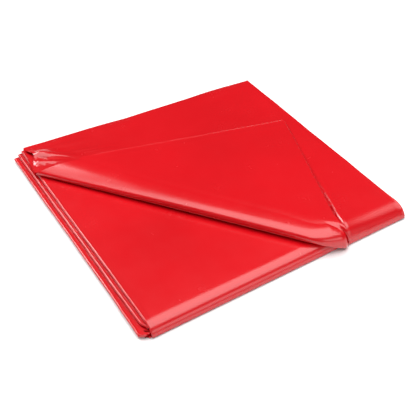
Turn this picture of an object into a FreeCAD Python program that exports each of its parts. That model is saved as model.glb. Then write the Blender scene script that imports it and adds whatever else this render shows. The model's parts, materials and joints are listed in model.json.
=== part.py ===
# Folded sheet of vinyl film: a strip eight films thick, laid to and fro in eight leaves,
# with the front left corner of the top leaf turned back over a soft diagonal roll.
# Millimetres. +Z is up, the stack lies on z = 0, +X runs along the front edge to the right and +Y to the back.
# The row's origin is the middle of the footprint, on the surface that the stack lies on.
import FreeCAD, Part
import os
import math
import Sketcher

doc = FreeCAD.newDocument("folded_sheet")
sheet = doc.addObject("Spreadsheet::Sheet", "Sheet")
sheet.Label = "Sheet"

# driving dimensions: alias, value, what it is
CELLS = [
    ("film_stack", 1.25, "thickness of one leaf: eight films of 0.15 with the air pressed out"),
    ("pitch", 1.60, "height from one leaf to the next"),
    ("axis_out", 0.20, "a crease axis stands this far outside the leaf ends"),
    ("mid_x", 123.60, "middle of the footprint from the top leaf's left end line"),
    ("mid_y", 131.00, "middle of the footprint from the stack's front line"),
    ("left_one", -5.00, "left end of leaf 1, the free end of the strip"),
    ("left_two", -8.30, "left crease of leaves 2 and 3"),
    ("left_four", -3.50, "left crease of leaves 4 and 5"),
    ("left_six", 0.00, "left crease of leaves 6 and 7"),
    ("left_top", 1.50, "left free end of leaf 8"),
    ("right_one", 253.50, "right crease of leaves 1 and 2"),
    ("right_three", 255.00, "right crease of leaves 3 and 4"),
    ("right_five", 254.20, "right crease of leaves 5 and 6"),
    ("right_top", 255.50, "right crease of leaves 7 and 8"),
    ("back_left", 265.00, "back edge at the left end"),
    ("back_right", 250.00, "back edge at the right end"),
    ("front_one", 1.40, "front fold of leaf 1"),
    ("front_two", 1.50, "front fold of leaf 2"),
    ("front_three", 1.90, "front fold of leaf 3"),
    ("front_four", 2.80, "front fold of leaf 4"),
    ("front_five", 4.40, "front fold of leaf 5"),
    ("front_six", 9.00, "front fold of leaf 6, and where leaves 7 and 8 start to turn down"),
    ("turn_centre", 1.60, "height of the centre that the turned-down front folds share"),
    ("turn_inner", 8.00, "inner radius of leaf 7's front fold"),
    ("turn_gap", 0.35, "gap between the front folds of leaves 7 and 8"),
    ("fold_foot", 0.40, "height of the front folds' lower ends"),
    ("crease_deg", 52.76, "slope of the corner crease, down to the right"),
    ("crease_back", 225.20, "where the corner crease line meets the line x = 0"),
    ("crease_height", 16.60, "height of the corner crease axis"),
    ("roll_left", 5.20, "radius of the corner roll at its left end"),
    ("roll_right", 4.20, "radius of the corner roll at its right end"),
    ("roll_start", 6.00, "left end of the corner roll, along the crease"),
    ("roll_end", 278.00, "right end of the corner roll, along the crease"),
    ("leaf_clear", 4.00, "leaf 8 stops this far short of the crease axis"),
    ("flap_tilt", 2.75, "the corner flap falls this many degrees from the roll to its tip"),
    ("tip_along", 195.80, "corner flap's tip, along the crease"),
    ("tip_in", 156.50, "corner flap's tip, in from the crease"),
    ("flap_left", 5.00, "left end of the corner flap along the crease"),
    ("flap_front_out", 285.00, "front end of the corner flap along the crease"),
    ("flap_front_in_a", 294.00, "front end of the corner flap's outer edge, along the crease"),
    ("flap_front_in_b", 9.50, "front end of the corner flap's outer edge, in from the crease"),
]
for i, (alias, value, what) in enumerate(CELLS, start=1):
    sheet.set("A%d" % i, what)
    sheet.set("B%d" % i, str(value))
    sheet.setAlias("B%d" % i, alias)
doc.recompute()
V = {alias: value for alias, value, what in CELLS}


def plane(body, role):
    return [f for f in body.Origin.OriginFeatures if f.Role == role][0]


def outline(body, name, points):
    """A closed sketch on the body's XY plane. points are pairs of expressions of the sheet's aliases."""
    sk = body.newObject("Sketcher::SketchObject", name)
    sk.AttachmentSupport = [(plane(body, "XY_Plane"), "")]
    sk.MapMode = "FlatFace"
    doc.recompute()
    values = [(eval_cell(a), eval_cell(b)) for a, b in points]
    count = len(points)
    for k in range(count):
        p, q = values[k], values[(k + 1) % count]
        sk.addGeometry(Part.LineSegment(FreeCAD.Vector(p[0], p[1], 0), FreeCAD.Vector(q[0], q[1], 0)), False)
    for k in range(count):
        sk.addConstraint(Sketcher.Constraint("Coincident", k, 2, (k + 1) % count, 1))
    for k, (a, b) in enumerate(points):
        cx = sk.addConstraint(Sketcher.Constraint("DistanceX", -1, 1, k, 1, values[k][0]))
        cy = sk.addConstraint(Sketcher.Constraint("DistanceY", -1, 1, k, 1, values[k][1]))
        sk.renameConstraint(cx, "x%d" % k)
        sk.renameConstraint(cy, "y%d" % k)
        sk.setExpression("Constraints.x%d" % k, sheet_names(a))
        sk.setExpression("Constraints.y%d" % k, sheet_names(b))
    return sk


def sheet_names(text):
    """Puts the sheet's name before each alias in an expression made of aliases, numbers, + and - and *."""
    out = []
    for word in text.split():
        out.append("Sheet." + word if word in V else word)
    return " ".join(out)


def eval_cell(text):
    """The value of such an expression, worked out left to right in signed terms."""
    total, sign, product = 0.0, 1.0, None
    for word in text.split():
        if word == "+" or word == "-":
            total += sign * (product if product is not None else 0.0)
            product, sign = None, (1.0 if word == "+" else -1.0)
        elif word == "*":
            continue
        else:
            value = V[word] if word in V else float(word)
            product = value if product is None else product * value
    return total + sign * (product if product is not None else 0.0)


def pad(body, sketch, name, length="film_stack"):
    feature = body.newObject("PartDesign::Pad", name)
    feature.Profile = sketch
    feature.Length = eval_cell(length)
    feature.setExpression("Length", sheet_names(length))
    return feature


def place(body, z):
    body.Placement = FreeCAD.Placement(FreeCAD.Vector(-V["mid_x"], -V["mid_y"], eval_cell(z)), FreeCAD.Rotation())
    body.setExpression("Placement.Base.x", "-Sheet.mid_x")
    body.setExpression("Placement.Base.y", "-Sheet.mid_y")
    body.setExpression("Placement.Base.z", sheet_names(z))


nodes = []

# ---- leaves 1 to 7: flat leaves, back edge a little out of square, closed fold at the front
LEAVES = [
    ("leaf_1_bottom", 0, "left_one", "right_one", "front_one"),
    ("leaf_2", 1, "left_two", "right_one", "front_two"),
    ("leaf_3", 2, "left_two", "right_three", "front_three"),
    ("leaf_4", 3, "left_four", "right_three", "front_four"),
    ("leaf_5", 4, "left_four", "right_five", "front_five"),
    ("leaf_6", 5, "left_six", "right_five", "front_six"),
    ("leaf_7", 6, "left_six", "right_top", "front_six"),
]
for label, level, left, right, front in LEAVES:
    body = doc.addObject("PartDesign::Body", label)
    body.Label = label
    sk = outline(body, label + "_outline", [(left, front), (right, front), (right, "back_right"), (left, "back_left")])
    feature = pad(body, sk, label + "_film")
    place(body, "pitch * %d" % level)
    doc.recompute()
    if level < 6:
        # the closed front fold is round: both of the front face's long edges
        names = []
        for n, e in enumerate(feature.Shape.Edges, start=1):
            ys = [v.Point.y for v in e.Vertexes]
            if len(ys) == 2 and e.Length > 200 and all(abs(y - V[front]) < 1e-6 for y in ys):
                names.append("Edge%d" % n)
        fil = body.newObject("PartDesign::Fillet", label + "_front_fold")
        fil.Base = (feature, names)
        fil.Radius = 0.6
        fil.setExpression("Radius", "Sheet.film_stack * 0.48")
        doc.recompute()
    nodes.append(body)

# ---- leaf 8, the top leaf: its front left corner is gone along the crease, because it is turned back
t = math.radians(V["crease_deg"])
# the cut line runs leaf_clear inside the crease line; its ends are kept in the sheet
cut_back = V["crease_back"] + V["leaf_clear"] / math.cos(t)
extra = [
    ("cut_left_y", cut_back - math.tan(t) * V["left_top"], "leaf 8's cut edge where it meets the left end"),
    ("cut_front_x", (cut_back - V["front_six"]) / math.tan(t), "leaf 8's cut edge where it meets the front turn"),
]
for i, (alias, value, what) in enumerate(extra, start=len(CELLS) + 1):
    V[alias] = value
    sheet.set("A%d" % i, what)
    sheet.set("B%d" % i, "%.4f" % value)
    sheet.setAlias("B%d" % i, alias)
doc.recompute()
body = doc.addObject("PartDesign::Body", "leaf_8_top")
body.Label = "leaf_8_top"
sk = outline(body, "leaf_8_outline", [
    ("cut_front_x", "front_six"), ("right_top", "front_six"), ("right_top", "back_right"),
    ("left_top", "back_left"), ("left_top", "cut_left_y")])
pad(body, sk, "leaf_8_film")
place(body, "pitch * 7")
nodes.append(body)


# ---- the turned-down front folds of leaves 7 and 8: a quarter ring about the x axis, with a short straight foot
def front_fold(label, inner_extra, left, right):
    """inner_extra is what is added to turn_inner, as an expression of aliases."""
    inner = "turn_inner" + inner_extra
    outer = inner + " + film_stack"
    length = right + " - " + left
    parts = []
    for which, radius in (("outer", outer), ("inner", inner)):
        c = doc.addObject("Part::Cylinder", "%s_%s" % (label, which))
        c.Radius = eval_cell(radius)
        c.setExpression("Radius", sheet_names(radius))
        c.Height = eval_cell(length)
        c.setExpression("Height", sheet_names(length))
        c.Angle = 90
        # the cylinder's axis is laid along +X, with the quarter between -Y and +Z
        c.Placement = FreeCAD.Placement(
            FreeCAD.Vector(eval_cell(left) - V["mid_x"], V["front_six"] - V["mid_y"], V["turn_centre"]),
            FreeCAD.Rotation(FreeCAD.Vector(0, 0, 1), FreeCAD.Vector(1, 0, 0)))
        c.setExpression("Placement.Base.x", sheet_names(left) + " - Sheet.mid_x")
        c.setExpression("Placement.Base.y", "Sheet.front_six - Sheet.mid_y")
        c.setExpression("Placement.Base.z", "Sheet.turn_centre")
        parts.append(c)
    ring = doc.addObject("Part::Cut", label + "_ring")
    ring.Base, ring.Tool = parts
    foot = doc.addObject("Part::Box", label + "_foot")
    for prop, text in (("Length", length), ("Width", "film_stack"), ("Height", "turn_centre - fold_foot")):
        setattr(foot, prop, eval_cell(text))
        foot.setExpression(prop, sheet_names(text))
    foot.Placement = FreeCAD.Placement(FreeCAD.Vector(0, 0, 0), FreeCAD.Rotation())
    foot.setExpression("Placement.Base.x", sheet_names(left) + " - Sheet.mid_x")
    foot.setExpression("Placement.Base.y", sheet_names("front_six - " + outer.replace("+", "-")) + " - Sheet.mid_y")
    foot.setExpression("Placement.Base.z", "Sheet.fold_foot")
    both = doc.addObject("Part::MultiFuse", label + "_whole")
    both.Shapes = [ring, foot]
    both.Refine = True
    return both


fold7 = front_fold("leaf_7_front_fold", "", "left_six", "right_top")
doc.recompute()


def quarter_turn(label):
    """Turns the quarter cylinders so that they lie between straight up and straight out to the front."""
    for which in ("outer", "inner"):
        c = doc.getObject("%s_%s" % (label, which))
        base = c.Placement.Base
        for spin in (0, 90, 180, 270):
            r = FreeCAD.Rotation(FreeCAD.Vector(1, 0, 0), spin).multiply(
                FreeCAD.Rotation(FreeCAD.Vector(0, 0, 1), FreeCAD.Vector(1, 0, 0)))
            c.Placement = FreeCAD.Placement(base, r)
            doc.recompute()
            box = c.Shape.BoundBox
            if box.YMax <= base.y + 0.01 and box.ZMin >= base.z - 0.01:
                break


quarter_turn("leaf_7_front_fold")
fold7.Label = "leaf_7_front_fold"
nodes.append(fold7)

fold8 = front_fold("leaf_8_front_fold", " + film_stack + turn_gap", "cut_front_x", "right_top")
doc.recompute()
quarter_turn("leaf_8_front_fold")
# its left end is cut along the corner crease, leaf_clear inside it
knife = doc.addObject("Part::Box", "leaf_8_front_fold_knife")
knife.Length, knife.Width, knife.Height = 400, 200, 40
knife.Placement = FreeCAD.Placement(
    FreeCAD.Vector(-V["mid_x"], cut_back - V["mid_y"], -5),
    FreeCAD.Rotation(FreeCAD.Vector(0, 0, 1), -V["crease_deg"])).multiply(
    FreeCAD.Placement(FreeCAD.Vector(0, -200, 0), FreeCAD.Rotation()))
fold8_cut = doc.addObject("Part::Cut", "leaf_8_front_fold_cut")
fold8_cut.Base, fold8_cut.Tool = fold8, knife
fold8_cut.Label = "leaf_8_front_fold"
fold8.Label = "leaf_8_front_fold_uncut"
nodes.append(fold8_cut)

# ---- the turned-back corner: a thin leaf that falls from the roll to its tip, drawn along and in from the crease
turn = FreeCAD.Rotation(FreeCAD.Vector(0, 0, 1), -V["crease_deg"])
start = FreeCAD.Vector(-V["mid_x"], V["crease_back"] - V["mid_y"], V["crease_height"])
tilt = FreeCAD.Rotation(FreeCAD.Vector(1, 0, 0), -V["flap_tilt"])
# when the corner is opened flat, the flap's films lie level with leaf 8's
lift = V["crease_height"] - (V["pitch"] * 7 + V["film_stack"])
flap_place = FreeCAD.Placement(start + FreeCAD.Vector(0, 0, lift), turn.multiply(tilt))
flap = doc.addObject("PartDesign::Body", "corner_flap")
flap.Label = "corner_flap"
sk = outline(flap, "corner_flap_outline", [
    ("flap_left", "0"), ("flap_front_out", "0"), ("flap_front_in_a", "flap_front_in_b"), ("tip_along", "tip_in")])
pad(flap, sk, "corner_flap_film")
flap.Placement = flap_place
nodes.append(flap)

cone = doc.addObject("Part::Cone", "corner_roll_cone")
for prop, text in (("Radius1", "roll_left"), ("Radius2", "roll_right"), ("Height", "roll_end - roll_start")):
    setattr(cone, prop, eval_cell(text))
    cone.setExpression(prop, sheet_names(text))
along = turn.multVec(FreeCAD.Vector(1, 0, 0))
cone.Placement = FreeCAD.Placement(start + along * V["roll_start"], FreeCAD.Rotation(FreeCAD.Vector(0, 0, 1), along))
seat = doc.addObject("Part::Box", "corner_roll_seat")
seat.Length, seat.Width, seat.Height = 400, 12, 8
seat.Placement = flap_place.multiply(FreeCAD.Placement(FreeCAD.Vector(-20, 0, 0), FreeCAD.Rotation()))
roll = doc.addObject("Part::Cut", "corner_roll")
roll.Base, roll.Tool = cone, seat
roll.Label = "corner_roll"
nodes.append(roll)

doc.recompute()

bad = [o.Label for o in doc.Objects if "Invalid" in o.State or "Error" in o.State]
if bad:
    raise RuntimeError("failed objects: %s" % bad)
for o in nodes:
    shape = o.Shape
    if shape.isNull() or not shape.isValid() or shape.Volume <= 0:
        raise RuntimeError("bad shape: %s" % o.Label)

os.makedirs("parts", exist_ok=True)
for o in nodes:
    o.Shape.exportStep(os.path.join("parts", o.Label + ".step"))
    b = o.Shape.BoundBox
    print("%-20s solids %d volume %9.1f  x %8.2f..%8.2f  y %8.2f..%8.2f  z %6.2f..%6.2f" % (
        o.Label, len(o.Shape.Solids), o.Shape.Volume, b.XMin, b.XMax, b.YMin, b.YMax, b.ZMin, b.ZMax))
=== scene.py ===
# Folded sheet of glossy red vinyl film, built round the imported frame.
# Every panel of the sheet is made as the real film is: eight films in a strip, closed at the front by
# four nested folds, laid to and fro in eight leaves, with the corner of the top leaf rolled back.
import bpy, bmesh, math, json
import numpy as np
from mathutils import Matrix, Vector


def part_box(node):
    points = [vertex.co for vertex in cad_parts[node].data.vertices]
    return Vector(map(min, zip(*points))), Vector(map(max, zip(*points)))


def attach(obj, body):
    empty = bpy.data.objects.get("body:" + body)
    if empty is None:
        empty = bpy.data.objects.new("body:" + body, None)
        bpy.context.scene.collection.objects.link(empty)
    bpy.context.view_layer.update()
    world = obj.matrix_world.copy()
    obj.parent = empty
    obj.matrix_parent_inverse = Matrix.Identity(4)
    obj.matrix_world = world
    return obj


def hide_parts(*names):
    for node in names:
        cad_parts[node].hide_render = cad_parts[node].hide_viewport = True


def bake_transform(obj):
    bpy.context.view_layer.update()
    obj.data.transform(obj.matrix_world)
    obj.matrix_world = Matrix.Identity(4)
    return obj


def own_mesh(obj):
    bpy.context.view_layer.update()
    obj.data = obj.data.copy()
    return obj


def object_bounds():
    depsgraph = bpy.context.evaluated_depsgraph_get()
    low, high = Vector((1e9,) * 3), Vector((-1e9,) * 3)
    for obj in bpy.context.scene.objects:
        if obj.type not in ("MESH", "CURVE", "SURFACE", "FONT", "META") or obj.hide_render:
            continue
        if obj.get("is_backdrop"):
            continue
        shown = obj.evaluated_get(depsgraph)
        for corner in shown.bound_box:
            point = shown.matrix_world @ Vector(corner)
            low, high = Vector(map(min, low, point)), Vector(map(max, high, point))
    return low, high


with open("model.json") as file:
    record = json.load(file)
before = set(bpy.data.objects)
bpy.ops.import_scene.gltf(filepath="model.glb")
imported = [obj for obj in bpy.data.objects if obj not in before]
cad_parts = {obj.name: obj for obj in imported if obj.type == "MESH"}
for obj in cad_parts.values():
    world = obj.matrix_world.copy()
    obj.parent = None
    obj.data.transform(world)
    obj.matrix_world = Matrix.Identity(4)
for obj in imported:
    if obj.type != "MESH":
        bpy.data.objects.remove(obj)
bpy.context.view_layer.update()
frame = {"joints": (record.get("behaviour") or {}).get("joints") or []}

# ------------------------------------------------------------------ the frame's own places
b7lo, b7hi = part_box("leaf_7")
OX, OY = b7lo.x, b7lo.y - 0.009            # leaf 7's left crease is x = 0, the stack's front line is y = 0 (millimetres below)
P = 0.15                                   # from one film to the next
MIDS, XL, XR, YF = {}, {}, {}, {}
for k in range(1, 9):
    lo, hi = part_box({1: "leaf_1_bottom", 8: "leaf_8_top"}.get(k, "leaf_%d" % k))
    MIDS[k] = (lo.z + hi.z) * 500
    XL[k], XR[k], YF[k] = (lo.x - OX) * 1000, (hi.x - OX) * 1000, (lo.y - OY) * 1000
YBL, YBR = 265.0, 250.0


def M(p):
    p = np.asarray(p, float)
    return np.stack([p[..., 0] / 1000 + OX, p[..., 1] / 1000 + OY, p[..., 2] / 1000], -1)


def sstep(t):
    t = np.clip(t, 0, 1)
    return t * t * (3 - 2 * t)


def y_back(x, k):
    """Back edge of leaf k: a little out of square, and never quite straight."""
    x = np.asarray(x, float)
    w = 0.35 * np.sin(x / 31.0 + 1.7 * k) + 0.22 * np.sin(x / 11.0 + 0.9 * k)
    return YBL + (YBR - YBL) * x / 255.0 + w - 0.35


# ------------------------------------------------------------------ the strip's path through its eight films
def path_rows(v_by_layer, arc=5, trims=(0.0, 1.3)):
    """Rows of the film's path from the first free edge to the last: v (0 front, 1 back), dy, offset from the middle, kind."""
    o = {i: (i - 4.5) * P for i in range(1, 9)}
    rows = []

    def layer(i, forward):
        for v in (v_by_layer(i) if forward else v_by_layer(i)[::-1]):
            rows.append((v, 0.0, o[i], 0))

    def front(i, j):
        r, c = abs(o[i] - o[j]) / 2, (o[i] + o[j]) / 2
        s = 1 if o[j] > o[i] else -1
        for th in np.linspace(-90, 90, arc + 2)[1:-1]:
            t = math.radians(th)
            rows.append((0.0, -r * math.cos(t), c + s * r * math.sin(t), 1))

    def back(i, j):
        r, c = abs(o[i] - o[j]) / 2, (o[i] + o[j]) / 2
        s = 1 if o[j] > o[i] else -1
        for th in np.linspace(-90, 90, 5)[1:-1]:
            t = math.radians(th)
            rows.append((1.0, r * math.cos(t), c + s * r * math.sin(t), 2))

    layer(1, False); front(1, 8); layer(8, True); back(8, 5); layer(5, False); front(5, 4); layer(4, True)
    back(4, 3); layer(3, False); front(3, 6); layer(6, True); back(6, 7); layer(7, False); front(7, 2); layer(2, True)
    return np.array(rows)


def grid_faces(nr, nc, base=0, skip=None):
    f = []
    for r in range(nr - 1):
        for c in range(nc - 1):
            if skip is not None and skip(r, c):
                continue
            a = base + r * nc + c
            f.append((a, a + 1, a + nc + 1, a + nc))
    return f


def make(name, verts, faces, weld=False):
    me = bpy.data.meshes.new(name)
    me.from_pydata([tuple(v) for v in M(np.asarray(verts).reshape(-1, 3))], [], faces)
    bm = bmesh.new(); bm.from_mesh(me)
    if weld:
        bmesh.ops.remove_doubles(bm, verts=bm.verts, dist=2e-6)
    loose = [v for v in bm.verts if not v.link_faces]
    if loose:
        bmesh.ops.delete(bm, geom=loose, context="VERTS")
    bm.to_mesh(me); bm.free()
    me.polygons.foreach_set("use_smooth", [True] * len(me.polygons))
    me.update()
    o = bpy.data.objects.new(name, me)
    bpy.context.scene.collection.objects.link(o)
    return o


# ------------------------------------------------------------------ the turned-down front of leaves 7 and 8
class Droop:
    """The film's middle surface turns down over the front of the stack: a long, easy slope, and a short plumb end at the table."""
    def __init__(self, z_mid, z_end, y_end):
        n = 600
        t = np.linspace(0, 1, n + 1)
        al = self.slope(t)
        c = np.concatenate([[0], np.cumsum((np.cos(al[1:]) + np.cos(al[:-1])) / 2)]) / n
        s = np.concatenate([[0], np.cumsum((np.sin(al[1:]) + np.sin(al[:-1])) / 2)]) / n
        self.L = (z_mid - z_end) / s[-1]
        self.t, self.c, self.s = t, c * self.L, s * self.L
        self.y0, self.z = y_end + self.c[-1], z_mid
        self.front = self.y0 - self.L          # where the closed front fold lies while the film is still level

    @staticmethod
    def slope(t):
        t = np.clip(t, 0, 1)
        return math.radians(86) * np.maximum(t, 1e-9) ** 1.3

    def __call__(self, y, off):
        t = (self.y0 - y) / self.L
        tc = np.clip(t, 0, 1)
        al = self.slope(tc)
        yy = np.where(t > 0, self.y0 - np.interp(tc, self.t, self.c), y)
        zz = self.z - np.interp(tc, self.t, self.s) - np.maximum(t - 1, 0) * self.L
        return yy - off * np.sin(al), zz + off * np.cos(al)


D7 = Droop(MIDS[7], 0.75, YF[7] - 9.0 + 0.37)
D8 = Droop(MIDS[8], 0.75, YF[7] - 9.0 - 1.25)
# the six leaves below stop short of the turned-down film
for k in range(1, 7):
    y_in, z_in = D7(np.linspace(D7.front, D7.y0 + 8, 1500), -0.78)
    ok = y_in[z_in >= MIDS[k] + 0.72]
    YF[k] = max(YF[k], float(ok.min()) + 0.35) if len(ok) else YF[k]


def hump(d, w):
    return np.clip(1 - (d / (1.25 * w)) ** 2, 0, 1) ** 2


def ridge(x, y, p, q, h, w, taper=(0.15, 0.5)):
    """A crease that stands up from the film between two points, and dies away at both ends."""
    p, q = np.array(p, float), np.array(q, float)
    L = np.linalg.norm(q - p); u = (q - p) / L
    t = ((x - p[0]) * u[0] + (y - p[1]) * u[1]) / L
    d = -(x - p[0]) * u[1] + (y - p[1]) * u[0]
    along = sstep((t + 0.02) / taper[0]) * sstep((1 - t) / taper[1])
    return h * along * hump(d, w)


# ------------------------------------------------------------------ leaves 1 to 6
def corner_cut(k, y):
    """The creases on the left pull in where they reach the front."""
    y = np.asarray(y, float)
    if k in (2, 3):
        return 4.6 * (1 - sstep((y - 3.0) / 3.5))
    if k in (4, 5):
        return 2.6 * (1 - sstep((y - 7.0) / 7.0))
    if k == 1:
        return 1.6 * (1 - sstep((y - 3.0) / 4.0))
    return 0.0 * y


E = 3.5          # a crease piece takes this much of each leaf that it joins
def ends(k):
    left_crease = {1: False, 8: False}.get(k, True)
    right_crease = True
    return (XL[k] + (E if left_crease else 0), XR[k] - (E if right_crease else 0))


def v_coarse(i):
    return np.concatenate([np.linspace(0, 0.06, 4), np.linspace(0.12, 0.94, 7), [0.975, 1.0]])


pieces, sheets = {}, {}
for k in range(1, 7):
    rows = path_rows(v_coarse)
    xl, xr = ends(k)
    s = np.concatenate([np.linspace(0, 0.05, 5), np.linspace(0.07, 0.93, 34), np.linspace(0.95, 1, 5)])
    yf = YF[k] + 0.62
    S, R = np.meshgrid(s, np.arange(len(rows)))
    v, dy, off = rows[R, 0], rows[R, 1], rows[R, 2]
    xg = xl + (xr - xl) * S
    yb = y_back(xg, k) - np.where(off > 0.3, 0.0, np.where(off < -0.4, 0.5 + 0.4 * np.sin(xg / 23.0 + k), 0.15))
    y = yf + v * (yb - yf) + dy
    x = xg + corner_cut(k, y) * (1 - S) ** 30
    z = MIDS[k] + off + 0.05 * np.sin(xg / 37.0 + k) * np.sin(y / 41.0 + 2 * k)
    pieces[k] = make("film_leaf_%d" % k, np.stack([x, y, z], -1), grid_faces(len(rows), len(s)))

# ------------------------------------------------------------------ leaf 7, whose top shows in front of the roll
def v7(i):
    yf, yb = D7.front + 0.6, 262.0
    ys = [np.linspace(yf, 24, 46 if i == 8 else 22)]
    ys.append(np.linspace(25.5, 36, 8 if i == 8 else 3))
    ys.append(np.linspace(38.5, yb, 68 if i == 8 else 8))
    return (np.concatenate(ys) - yf) / (yb - yf)


def z7(x, y):
    """Leaf 7 isn't dead flat: broad, shallow swells, and it settles a little towards its free front left corner."""
    open_side = sstep((190 - y - 1.32 * x) / 120.0 + 0.35)
    w = 0.10 * np.sin(x / 24.0 + 0.4) * np.sin(y / 29.0 + 1.0) + 0.06 * np.sin((x + y) / 13.0)
    w += 0.16 * np.sin((x * 0.6 + y) / 33.0 + 0.7) * open_side
    return 0.55 * w * sstep((y - 4) / 14.0)


rows = path_rows(v7, arc=7)
xl, xr = ends(7)
s = np.concatenate([np.linspace(0, 0.06, 9), np.linspace(0.07, 0.94, 84), np.linspace(0.95, 1, 7)])
S, R = np.meshgrid(s, np.arange(len(rows)))
v, dy, off = rows[R, 0], rows[R, 1], rows[R, 2]
xg = xl + (xr - xl) * S
yf7 = D7.front + 0.6 + 0.0 * xg
yb = y_back(xg, 7) - np.where(off < -0.4, 0.6, 0.1)
y = yf7 + v * (yb - yf7) + dy
yy, zz = D7(y, off)
zz = zz + z7(xg, y)
verts = list(np.stack([xg, yy, zz], -1).reshape(-1, 3))
faces = grid_faces(len(rows), len(s))
pieces[7] = make("film_leaf_7", verts, faces)

# ------------------------------------------------------------------ the corner roll's guide lines, along (c) and in from (d) the crease
jt = [j for j in frame["joints"] if j["name"] == "corner_crease"][0]
ax = np.array(jt["axis"], float); pos = np.array(jt["pos_m"], float)
U2 = ax[:2] / np.linalg.norm(ax[:2]); N2 = np.array([-U2[1], U2[0]])
P0 = np.array([(pos[0] - OX) * 1000, (pos[1] - OY) * 1000])
ZB = MIDS[8]
PINCH = np.array([190.5, D8.front - 0.2])
NOSE = -6.0
c_line = np.linspace(-8, 262, 200)
line = P0 + c_line[:, None] * U2 + NOSE * N2
A0 = P0 + 262 * U2 + NOSE * N2
end_dir = np.array([0.95, -0.312])
Mx = np.array([[U2[0], end_dir[0]], [U2[1], end_dir[1]]])
st = np.linalg.solve(Mx, PINCH - A0)
ctrl = A0 + st[0] * U2
tb = np.linspace(0, 1, 61)[1:, None]
bez = (1 - tb) ** 2 * A0 + 2 * tb * (1 - tb) * ctrl + tb ** 2 * PINCH
nose_pts = np.vstack([line, bez])
seg = np.linalg.norm(np.diff(nose_pts, axis=0), axis=1)
c_arr = np.concatenate([[-8], -8 + np.cumsum(seg)])
C_END = c_arr[-1]
tang = np.gradient(nose_pts, c_arr, axis=0); tang /= np.linalg.norm(tang, axis=1)[:, None]
inw = np.stack([-tang[:, 1], tang[:, 0]], -1)


def curve(arr, c):
    return np.stack([np.interp(c, c_arr, arr[:, i]) for i in range(2)], -1)


R1 = ([-8, 30, 73, 122, 170, 220, 262, 285, C_END - 6, C_END], [2.5, 2.6, 3.0, 3.6, 3.9, 3.95, 3.9, 3.7, 2.7, 0.75])
R2 = ([-8, 30, 73, 122, 170, 220, 262, 285, C_END - 6, C_END], [40.0, 39.0, 32.0, 22.6, 18.0, 17.0, 17.2, 20.0, 12.0, 1.5])
R3 = ([-8, 240, 285, C_END], [60.0, 60.0, 30.0, 3.0])


def smooth_interp(tab, c):
    """Interpolates a table smoothly, by averaging over a short window."""
    out = 0
    for dlt in (-14, -7, 0, 7, 14):
        cc = np.where(c > 270, c, c + dlt)
        out = out + np.interp(cc, tab[0], tab[1])
    return out / 5


FLAP_SLOPE = 2.9
PH = [math.radians(a) for a in (180, 28, 6, -FLAP_SLOPE)]


def roll_point(c, f, off):
    """Point of the rolled film at c along the roll; f runs 0 to 3 through the profile's three arcs; off is towards the leaf's upper side."""
    r1, r2, r3 = smooth_interp(R1, c), smooth_interp(R2, c), smooth_interp(R3, c)
    nose, inn = curve(nose_pts, c), curve(inw, c)
    inn = inn / np.linalg.norm(inn, axis=-1, keepdims=True)
    ph = np.where(f < 1, PH[0] + (PH[1] - PH[0]) * f, np.where(f < 2, PH[1] + (PH[2] - PH[1]) * (f - 1), PH[2] + (PH[3] - PH[2]) * (f - 2)))
    # d measured in from the nose line, z up from the film's base
    d = r1 - r1 * np.sin(np.clip(ph, PH[1], PH[0]))
    z = r1 * (1 + np.cos(np.clip(ph, PH[1], PH[0])))
    p2 = np.clip(ph, PH[2], PH[1])
    d = d + r2 * (math.sin(PH[1]) - np.sin(p2)); z = z + r2 * (np.cos(p2) - math.cos(PH[1]))
    p3 = np.clip(ph, PH[3], PH[2])
    d = d + r3 * (math.sin(PH[2]) - np.sin(p3)); z = z + r3 * (np.cos(p3) - math.cos(PH[2]))
    # off points to the inside of the roll
    d = d + off * np.sin(ph); z = z - off * np.cos(ph)
    return nose + inn * d[..., None], z


# base curve: where leaf 8 leaves the level and starts to roll
c_dense = np.concatenate([np.linspace(-8, 255, 300), np.linspace(256, C_END, 120)])
bp, bz = roll_point(c_dense, np.zeros_like(c_dense), np.zeros_like(c_dense))
XPIN = bp[-1, 0]


def y_warp(y, zoff):
    """Level place and height above leaf 8's middle surface, to the place over the turned-down front."""
    return D8(y, zoff)


# ------------------------------------------------------------------ leaf 8, behind the crease
cols = np.concatenate([np.linspace(1.5, 62, 74), np.linspace(63.5, 130, 42), np.linspace(132.5, XPIN - 3, 20), [XPIN - 1.5, XPIN]])
ncol_left = len(cols)
cols = np.concatenate([cols, XPIN + np.array([0.7, 1.4, 2.1, 2.9, 3.8, 4.8, 5.8, 6.8, 7.8, 8.9]), np.linspace(XPIN + 10, ends(8)[1], 58)])
xb = cols - 5.3 * np.exp(-(cols - 1.5) / 12.0)
mono = np.maximum.accumulate(bp[:, 0] + np.arange(len(bp)) * 1e-9)
yb_low = np.where(cols <= XPIN + 1e-6, np.interp(xb, mono, bp[:, 1]), D8.front + 0.6)
ease = sstep((cols - XPIN) / 9.0)
yb_low = np.where(cols > XPIN + 1e-6, bp[-1, 1] + (D8.front + 0.6 - bp[-1, 1]) * ease, yb_low)
xb = np.where(cols > XPIN, cols, xb)


def v8(i):
    a = np.concatenate([np.linspace(0, 0.16, 28), np.linspace(0.175, 1, 92)]) if i == 8 else \
        (np.concatenate([np.linspace(0, 0.12, 12), np.linspace(0.15, 1, 30)]) if i in (1, 4, 5) else np.concatenate([np.linspace(0, 0.12, 10), np.linspace(0.16, 1, 14)]))
    return a


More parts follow.
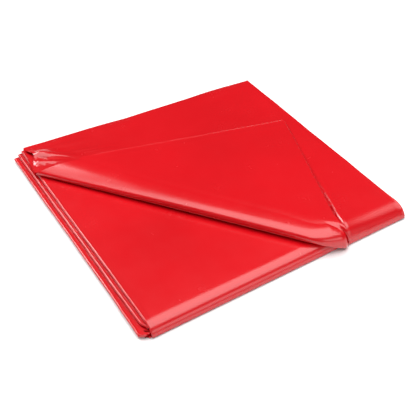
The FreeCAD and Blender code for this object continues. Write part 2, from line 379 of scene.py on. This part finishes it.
def z8(x, y, off, X):
    """Relief of leaf 8. The upper four films lift off the lower four at the free left end, where they are pleated."""
    yb = y_back(X, 8)
    up = sstep((off + 0.05) / 0.1)
    left = np.exp(-np.maximum(x - 6, 0) / 15.0)
    mouth = 2.9 * left * np.exp(-((y - 248.5) / 9.0) ** 2)
    p1 = ridge(x, y, (5.5, 248.5), (50, 220.5), 2.6, 4.6, (0.15, 0.8))
    p1b = ridge(x, y, (9.5, 249.0), (40, 238.0), 1.1, 4.2, (0.2, 0.7))
    p2 = ridge(x, y, (1.0, 236.8), (36, 222.5), 2.0, 4.0, (0.15, 0.8))
    val = -ridge(x, y, (3.0, 241.5), (38, 224.0), 0.7, 2.6, (0.2, 0.6))
    fan = ridge(x, y, (44, 229.5), (92, 214.0), 0.42, 1.5, (0.4, 0.5)) + ridge(x, y, (52, 223.5), (95, 211.5), 0.34, 1.3, (0.4, 0.5)) \
        + ridge(x, y, (30, 236), (74, 226.5), 0.35, 2.2, (0.4, 0.5)) + ridge(x, y, (22, 250), (72, 243.0), 0.5, 4.5, (0.4, 0.5)) \
        + ridge(x, y, (14, 258), (60, 256.0), 0.45, 3.2, (0.3, 0.6))
    swell = 0.50 * np.sin((x - 22) / 21.0) * np.exp(-((yb - y) / 17.0) ** 2) * sstep((200 - x) / 80) * sstep((x - 10) / 25.0)
    swell += 1.5 * np.exp(-((x - 96) / 24.0) ** 2) * np.exp(-((yb - y - 9) / 9.5) ** 2)
    swell += 1.2 * np.exp(-((x - 218) / 30.0) ** 2) * np.exp(-((yb - y - 7) / 8.0) ** 2)
    swell += 0.12 * np.sin(x / 27.0 + 0.5) * np.sin(y / 31.0) + 0.05 * np.sin((x - y) / 12.0)
    edge = -0.35 * np.exp(-(yb - y) / 3.0) * sstep((x - 20) / 40.0)
    # the film stands up in a soft fold just to the right of the pinch, and dips between it and the turned-back corner
    xe = np.interp(y, [-10, 0, 11, 21.5, 34.5, 62.5, 91, 114.5], [189.5, 189.5, 190.5, 192.5, 197.5, 208, 219, 228])
    dr = x - xe - 1.0
    fold = 4.8 * sstep((dr + 1.2) / 6.5) * np.exp(-np.maximum(dr - 2.5, 0) / 34.0) * np.exp(-(np.maximum(y - 12, 0) / 52.0) ** 2) * sstep((y + 6) / 15.0)
    edge = edge + fold * (X > XPIN - 40)
    calm = sstep((y - 6) / 12.0) * sstep((y + 1.3155 * x - 236) / 16.0 + 0.35)
    z = np.maximum(swell, -0.1) * calm + fan * calm + up * (mouth + p1 + p1b + p2 + val + 0.25 * left)
    z = z - (1 - up) * 0.12 * left * np.sin(y / 3.1)
    return z + edge


rows = path_rows(v8, arc=7)
X, R = np.meshgrid(cols, np.arange(len(rows)))
v, dy, off = rows[R, 0], rows[R, 1], rows[R, 2]
kind = rows[:, 3]
xbg, ylow = np.tile(xb, (len(rows), 1)), np.tile(yb_low, (len(rows), 1))
yb = y_back(X, 8) - np.where(off < -0.4, 0.5, 0.1)
y = ylow + v * (yb - ylow) + np.where(X <= XPIN + 1e-6, np.where(kind[R] == 1, 0.0, dy), dy)
x = xbg + v * (X - xbg)
# the upper films' free ends stand back from the lower ones', and the ends run a little unevenly
stand_back = sstep((off + 0.05) / 0.1) * (5.8 * np.exp(-((y - 246.5) / 8.5) ** 2) + 1.5 * np.exp(-((y - 235) / 4.0) ** 2)) + 0.18 * np.sin(y / 4.7 + 4 * off) + 0.5 * off
x = x + stand_back * np.exp(-(X - 1.5) / 9.0)
yy, zz = D8(y, off)
zz = zz + z8(x, y, off, X)
verts8 = np.stack([x, yy, zz], -1)
skip8 = lambda r, c: (kind[r] == 1 or kind[r + 1] == 1) and c < ncol_left - 1
pieces[8] = make("film_leaf_8", verts8, grid_faces(len(rows), len(cols), 0, skip8))

# ------------------------------------------------------------------ the roll and the turned-back corner
a_par = np.concatenate([np.linspace(0, 0.12, 26), np.linspace(0.13, 0.86, 74), np.linspace(0.87, 0.96, 18), np.linspace(0.965, 1, 12)])
C0 = -1.8
cB = C0 + (C_END - C0) * a_par
f_par = np.concatenate([np.linspace(0, 1, 17), np.linspace(1, 2, 9)[1:], np.linspace(2, 3, 7)[1:]])
left_edge = np.array([(28.3, 213.1), (38.1, 210.6), (57.4, 206.6), (81.1, 201.3), (115.3, 193.3), (155.2, 183.9), (197.0, 174.5), (243.4, 164.2)])
right_edge = np.array([(190.5, PINCH[1]), (189.2, -3.5), (188.7, 4.0), (189.0, 11.0), (190.9, 21.5), (195.7, 34.5), (206.2, 62.5), (217.0, 91.0), (225.9, 114.5), (234.6, 138.8), (243.4, 164.2)])


def along(poly, t, from_pt=None):
    poly = poly if from_pt is None else np.vstack([from_pt, poly])
    L = np.concatenate([[0], np.cumsum(np.linalg.norm(np.diff(poly, axis=0), axis=1))])
    q = np.stack([np.interp(t * L[-1], L, poly[:, i]) for i in range(2)], -1)
    return q


def flap_height(x, y):
    """Height of the flap's middle surface above leaf 8's: full beside the roll, low at the tip, and pinched down at the front end."""
    d = (np.stack([x, y], -1) - P0) @ N2
    full = 9.75 - np.maximum(d - 17.0, 0) * math.tan(math.radians(FLAP_SLOPE)) + 0.0
    full = full + 0.25 * np.sin(x / 31.0) * np.sin(y / 27.0) * sstep((d - 15) / 30.0) * sstep((150 - d) / 30)
    rho = np.hypot(x - PINCH[0], y - PINCH[1])
    f = sstep((rho + 0.8) / 10.0) ** 0.5
    return 1.55 + (full - 1.55) * f


def corner_layer(off, rs=1, cs=1):
    a, f = a_par[::cs], f_par[::rs]
    if a[-1] != 1: a = np.append(a, 1.0)
    if f[-1] != 3: f = np.append(f, 3.0)
    cb = C0 + (C_END - C0) * a
    Fg, Cg = np.meshgrid(f, cb, indexing="ij")
    Ag = np.meshgrid(f, a, indexing="ij")[1]
    r1, r2, r3 = smooth_interp(R1, Cg), smooth_interp(R2, Cg), smooth_interp(R3, Cg)
    arc = r1 * 2.653 * np.clip(Fg, 0, 1) + r2 * 0.384 * np.clip(Fg - 1, 0, 1) + r3 * 0.155 * np.clip(Fg - 2, 0, 1)
    Cs = np.minimum(Cg + 1.206 * arc * (1 - Ag) ** 3, C_END)
    offg = np.full_like(Cs, off)
    pl, z = roll_point(Cs, Fg, offg)
    # the roll's points with their heights; its last row is the line the flap starts from
    roll = np.concatenate([pl, z[..., None]], -1)
    T = roll[-1]
    # flap rows: from the roll's top line to the tip
    v = np.concatenate([np.linspace(0, 0.22, 22), np.linspace(0.25, 0.97, 34), [0.985, 0.995]])[1:]
    v = v[::rs] if rs > 1 else v
    if v[-1] < 0.99: v = np.append(v, 0.995)
    Lp = along(left_edge[1:], v, T[0, :2]); Rp = along(right_edge[1:], v, T[-1, :2])
    lin = (1 - a)[:, None] * T[0, :2] + a[:, None] * T[-1, :2]
    dev = T[:, :2] - lin
    g = (1 - a)[None, :, None] * Lp[:, None, :] + a[None, :, None] * Rp[:, None, :] + dev[None] * ((1 - v) ** 2.2)[:, None, None]
    zf = flap_height(g[..., 0], g[..., 1]) - off
    # eases from the roll's own height into the flap's
    z_t = T[:, 2][None, :]
    ht = flap_height(T[:, 0], T[:, 1])[None, :] - off
    zf = zf + (z_t - ht) * (np.exp(-(v / 0.03) ** 2))[:, None]
    v = v[:, None]
    # the free left edge lifts a little, as a lip
    s_left = np.linalg.norm(g[:, :, :2] - g[:, :1, :2], axis=-1)
    zf = zf + 0.38 * np.clip(1 - s_left / 3.6, 0, 1) ** 2 * sstep(v / 0.12) - 0.10 * np.exp(-((s_left - 6.0) / 3.0) ** 2) * sstep(v / 0.12)
    flap = np.concatenate([g, zf[..., None]], -1)
    full = np.concatenate([roll, flap], 0)
    yy, zz = y_warp(full[..., 1], full[..., 2])
    rho = np.hypot(full[..., 0] - PINCH[0], full[..., 1] - PINCH[1])
    keep = 0.9 * sstep((full[..., 2] - 2.0) / 7.0) * sstep((rho - 1.5) / 9.0)
    yy = yy + (full[..., 1] - yy) * keep
    zz = zz + (ZB + full[..., 2] - zz) * keep
    return np.stack([full[..., 0], yy, zz], -1), full


verts, faces = [], []
grids = {}
for i in range(1, 9):
    off = (i - 4.5) * P
    rs, cs = (1, 1) if i == 1 else (1, 3)
    g3, flat = corner_layer(off, rs, cs)
    grids[i] = g3
    base = len(verts)
    verts += list(g3.reshape(-1, 3))
    faces += grid_faces(g3.shape[0], g3.shape[1], base)
# nested closed folds along the flap's right edge
for i, j in ((1, 8), (2, 7), (3, 6), (4, 5)):
    A, B = grids[i][:, -1], grids[j][:, -1]
    mid, half = (A + B) / 2, (A - B) / 2
    tg = np.gradient(mid, axis=0); tg /= np.linalg.norm(tg, axis=1)[:, None] + 1e-12
    hn = half / (np.linalg.norm(half, axis=1)[:, None] + 1e-12)
    out = np.cross(tg, hn); out *= np.sign(out[:, 0:1] + 1e-9)
    r = np.linalg.norm(half, axis=1)[:, None]
    th = np.radians(np.linspace(90, -90, 8))
    g = np.stack([mid + half * math.sin(t) + out * r * math.cos(t) for t in th], 1)
    base = len(verts)
    verts += list(g.reshape(-1, 3))
    faces += grid_faces(g.shape[0], g.shape[1], base)
corner = make("film_corner", verts, faces, weld=True)

# ------------------------------------------------------------------ the creases between the leaves
def crease(k):
    """The films between leaf k and leaf k + 1: eight nested turns, and a few millimetres of each leaf."""
    right = k % 2 == 1
    s = 1 if right else -1
    xe = XR[k] if right else XL[k]
    xa = xe + 0.2 * s
    za = (MIDS[k] + MIDS[k + 1]) / 2
    lo_front = max(YF[k], YF[k + 1]) + 0.2
    drooped = k == 7
    if drooped or k == 6:
        tt = np.concatenate([np.linspace(D7.front + 0.4, 24, 38), np.linspace(26, 262, 48)])
    else:
        tt = np.concatenate([np.linspace(lo_front, lo_front + 14, 22), np.linspace(lo_front + 16, 70, 26), np.linspace(74, 262, 34)])
    verts, faces = [], []
    for i in range(1, 9):
        o_lo, o_up = (i - 4.5) * P, (9 - i - 4.5) * P
        r = 0.8 - (i - 4.5) * P
        prof = [("lo", -E * s * q) for q in (1, 0.66, 0.33, 0)] + [("arc", a) for a in np.linspace(-90, 90, 15)] + [("up", -E * s * q) for q in (0, 0.33, 0.66, 1)]
        g = []
        for what, val in prof:
            n = len(tt)
            frac = (tt - tt[0]) / (tt[-1] - tt[0])
            yb = np.minimum(y_back(xe, k), y_back(xe, k + 1)) - 0.4
            y = tt[0] + frac * (yb - tt[0])
            if drooped:
                # leaf 8 turns down outside leaf 7, so the same share of each turned-down length goes together
                t7 = np.clip((D7.y0 - y) / D7.L, None, 1.0)
                y8 = np.where(t7 > 0, D8.y0 - t7 * D8.L, y)
                y8 = np.where((t7 <= 0), y, y8)
                ly, lz = D7(y, o_lo + 0 * y); uy, uz = D8(y8, o_up + 0 * y)
                uz = uz + 0.0
            elif k == 6:
                uy, uz = D7(y, o_up + 0 * y)
                my0, mz0 = D7(y, 0 * y)
                ly = np.where(mz0 < MIDS[7] - 0.4, my0 + 0.5, y)
                lz = np.maximum(np.minimum(MIDS[6] + o_lo, mz0 - 1.55 + 0.7 * o_lo), 0.15 + 0.04 * i)
            else:
                ly, lz = y, np.full(n, MIDS[k] + o_lo); uy, uz = y, np.full(n, MIDS[k + 1] + o_up)
            cut_lo, cut_up = corner_cut(k, y) if not right else 0 * y, corner_cut(k + 1, y) if not right else 0 * y
            if what == "lo":
                px = xe + val + cut_lo; py, pz = ly, lz
            elif what == "up":
                px = xe + val + cut_up; py, pz = uy, uz
            else:
                t = math.radians(val)
                my, mz, hy, hz = (ly + uy) / 2, (lz + uz) / 2, (uy - ly) / 2, (uz - lz) / 2
                hl = np.hypot(hy, hz)
                puff = 0 * y
                if k == 2:     # the widest crease swells towards the front, and its front end is crumpled
                    puff = 0.85 * sstep((75 - y) / 60.0)
                elif k == 7:
                    puff = 0.55 + 0.35 * sstep((40 - y) / 40.0)
                elif k in (4, 6):
                    puff = 0.12 + 0.1 * np.sin(y / 19.0 + k)
                wav = 1 + 0.10 * np.sin(y / 17.0 + 1.3 * k) + 0.05 * np.sin(y / 6.1 + k)
                crump = (0.55 * np.sin(y * 1.45 + 2.2 * t) + 0.35 * np.sin(y * 2.9 + 4 * t)) * sstep((tt[0] + 9 - y) / 7.0) if k == 2 else 0 * y
                cx = math.cos(t)
                px = xa + (cut_lo + cut_up) / 2 + s * hl * cx * (1 + puff * 1.1) * wav + s * crump * cx * 0.6
                py = my + hy * math.sin(t) * (1 + puff * 0.9 * cx)
                pz = mz + hz * math.sin(t) * (1 + puff * 0.9 * cx) + crump * 0.5 * cx
            g.append(np.stack([px, py, pz], -1))
        g = np.array(g)
        base = len(verts)
        verts += list(g.reshape(-1, 3))
        faces += grid_faces(g.shape[0], g.shape[1], base)
    o = make("film_crease_%d_%d" % (k, k + 1), verts, faces)
    return o, xa, za


creases = {k: crease(k) for k in range(1, 8)}

# ------------------------------------------------------------------ material: calendered vinyl film
def vinyl(name, seed):
    m = bpy.data.materials.new(name); m.use_nodes = True
    nt = m.node_tree; nt.nodes.clear()
    N, Lk = nt.nodes.new, nt.links.new
    out = N("ShaderNodeOutputMaterial"); bs = N("ShaderNodeBsdfPrincipled")
    tc = N("ShaderNodeTexCoord"); mp = N("ShaderNodeMapping")
    mp.inputs["Location"].default_value = (seed * 0.13, seed * 0.07, seed * 0.03)
    Lk(tc.outputs["Object"], mp.inputs["Vector"])
    # colour: a slow change in the pigment and the film's thickness
    n1 = N("ShaderNodeTexNoise"); n1.inputs["Scale"].default_value = 9.0; n1.inputs["Detail"].default_value = 3.0
    n2 = N("ShaderNodeTexNoise"); n2.inputs["Scale"].default_value = 60.0; n2.inputs["Detail"].default_value = 4.0
    Lk(mp.outputs[0], n1.inputs["Vector"]); Lk(mp.outputs[0], n2.inputs["Vector"])
    ramp = N("ShaderNodeValToRGB")
    ramp.color_ramp.elements[0].position = 0.35; ramp.color_ramp.elements[0].color = (0.545, 0.0016, 0.0056, 1)
    ramp.color_ramp.elements[1].position = 0.65; ramp.color_ramp.elements[1].color = (0.60, 0.0022, 0.0070, 1)
    Lk(n1.outputs["Fac"], ramp.inputs["Fac"]); Lk(ramp.outputs["Color"], bs.inputs["Base Color"])
    # roughness: the calender's faint banding and handling marks
    mr = N("ShaderNodeMapRange"); mr.inputs["From Min"].default_value = 0.3; mr.inputs["From Max"].default_value = 0.7
    mr.inputs["To Min"].default_value = 0.235; mr.inputs["To Max"].default_value = 0.275
    Lk(n2.outputs["Fac"], mr.inputs["Value"]); Lk(mr.outputs["Result"], bs.inputs["Roughness"])
    # bump: soft handling ripples, and the very fine grain of the film
    n3 = N("ShaderNodeTexNoise"); n3.inputs["Scale"].default_value = 26.0; n3.inputs["Detail"].default_value = 2.0
    mp2 = N("ShaderNodeMapping"); mp2.inputs["Scale"].default_value = (0.7, 1.25, 1.0); mp2.inputs["Rotation"].default_value = (0, 0, 0.5)
    Lk(tc.outputs["Object"], mp2.inputs["Vector"]); Lk(mp2.outputs[0], n3.inputs["Vector"])
    b1 = N("ShaderNodeBump"); b1.inputs["Strength"].default_value = 0.03; b1.inputs["Distance"].default_value = 0.004
    n4 = N("ShaderNodeTexNoise"); n4.inputs["Scale"].default_value = 2600.0; n4.inputs["Detail"].default_value = 2.0
    Lk(tc.outputs["Object"], n4.inputs["Vector"])
    b2 = N("ShaderNodeBump"); b2.inputs["Strength"].default_value = 0.02; b2.inputs["Distance"].default_value = 0.0002
    Lk(n3.outputs["Fac"], b1.inputs["Height"]); Lk(n4.outputs["Fac"], b2.inputs["Height"]); Lk(b1.outputs["Normal"], b2.inputs["Normal"])
    Lk(b2.outputs["Normal"], bs.inputs["Normal"])
    bs.inputs["IOR"].default_value = 1.52
    bs.inputs["Specular IOR Level"].default_value = 0.5
    bs.inputs["Coat Weight"].default_value = 0.55
    bs.inputs["Coat Roughness"].default_value = 0.20
    bs.inputs["Coat IOR"].default_value = 1.45
    Lk(bs.outputs["BSDF"], out.inputs["Surface"])
    return m


mats = {i: vinyl("vinyl_film_%d" % i, i) for i in range(3)}

NODES = {1: ["leaf_1_bottom"], 7: ["leaf_7", "leaf_7_front_fold"], 8: ["leaf_8_top", "leaf_8_front_fold"]}
areas = {}


def area_of(o):
    return sum(p.area for p in o.data.polygons)


for k, o in pieces.items():
    o.data.materials.append(mats[k % 3])
    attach(o, "leaf_%d" % k)
    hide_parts(*NODES.get(k, ["leaf_%d" % k]))
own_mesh(pieces[7])
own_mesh(pieces[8])
for k, (o, xa, za) in creases.items():
    o.data.materials.append(mats[k % 3])
    x, y = xa / 1000 + OX, 0.0
    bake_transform(o)
corner.data.materials.append(mats[1])
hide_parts("corner_flap", "corner_roll")
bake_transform(corner)

# ------------------------------------------------------------------ floor, light, camera
bpy.ops.mesh.primitive_plane_add(size=12, location=(0, 0, -0.0004))
floor = bpy.context.object; floor.name = "floor"
fm = bpy.data.materials.new("floor_paper"); fm.use_nodes = True
fb = fm.node_tree.nodes["Principled BSDF"]
fn = fm.node_tree.nodes.new("ShaderNodeTexNoise"); fn.inputs["Scale"].default_value = 3.0
fr = fm.node_tree.nodes.new("ShaderNodeValToRGB")
fr.color_ramp.elements[0].color = (0.93, 0.93, 0.93, 1); fr.color_ramp.elements[1].color = (0.95, 0.95, 0.95, 1)
fm.node_tree.links.new(fn.outputs["Fac"], fr.inputs["Fac"]); fm.node_tree.links.new(fr.outputs["Color"], fb.inputs["Base Color"])
fb.inputs["Roughness"].default_value = 0.9; fb.inputs["Specular IOR Level"].default_value = 0.1
floor.data.materials.append(fm)
floor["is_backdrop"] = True


def area_light(name, loc, target, size, energy, size_y=None, color=(1, 1, 1)):
    d = bpy.data.lights.new(name, "AREA"); d.energy = energy; d.color = color
    d.shape = "RECTANGLE"; d.size = size; d.size_y = size_y or size
    o = bpy.data.objects.new(name, d); bpy.context.scene.collection.objects.link(o)
    o.location = loc
    o.rotation_euler = (Vector(target) - Vector(loc)).to_track_quat("-Z", "Y").to_euler()
    return o


area_light("overhead", (0.20, -0.26, 1.15), (0.20, -0.26, 0), 1.65, 22.5, 1.38)
area_light("back_left", (-0.52, 1.12, 1.20), (0, 0, 0), 0.80, 18.0, 0.62)
area_light("front_fill", (0.30, -1.5, 0.5), (0, 0, 0), 1.2, 4.0, 0.5)
world = bpy.data.worlds.new("studio"); world.use_nodes = True
world.node_tree.nodes["Background"].inputs[0].default_value = (1, 1, 1, 1)
world.node_tree.nodes["Background"].inputs[1].default_value = 0.07
bpy.context.scene.world = world
bpy.context.scene.view_settings.view_transform = "Standard"

cam = bpy.data.cameras.new("camera"); co = bpy.data.objects.new("camera", cam)
bpy.context.scene.collection.objects.link(co)
co.location = (-0.28506, -0.46656, 0.46690)
co.rotation_euler = (math.radians(47.97), 0, math.radians(-32.31))
cam.sensor_width = 36; cam.lens = 65.17; cam.clip_start = 0.01; cam.clip_end = 30
bpy.context.scene.camera = co

for k, (o, xa, za) in creases.items():
    print("AREA", o.name, round(area_of(o), 5))
print("AREA corner", round(area_of(corner), 4))
lo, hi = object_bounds()
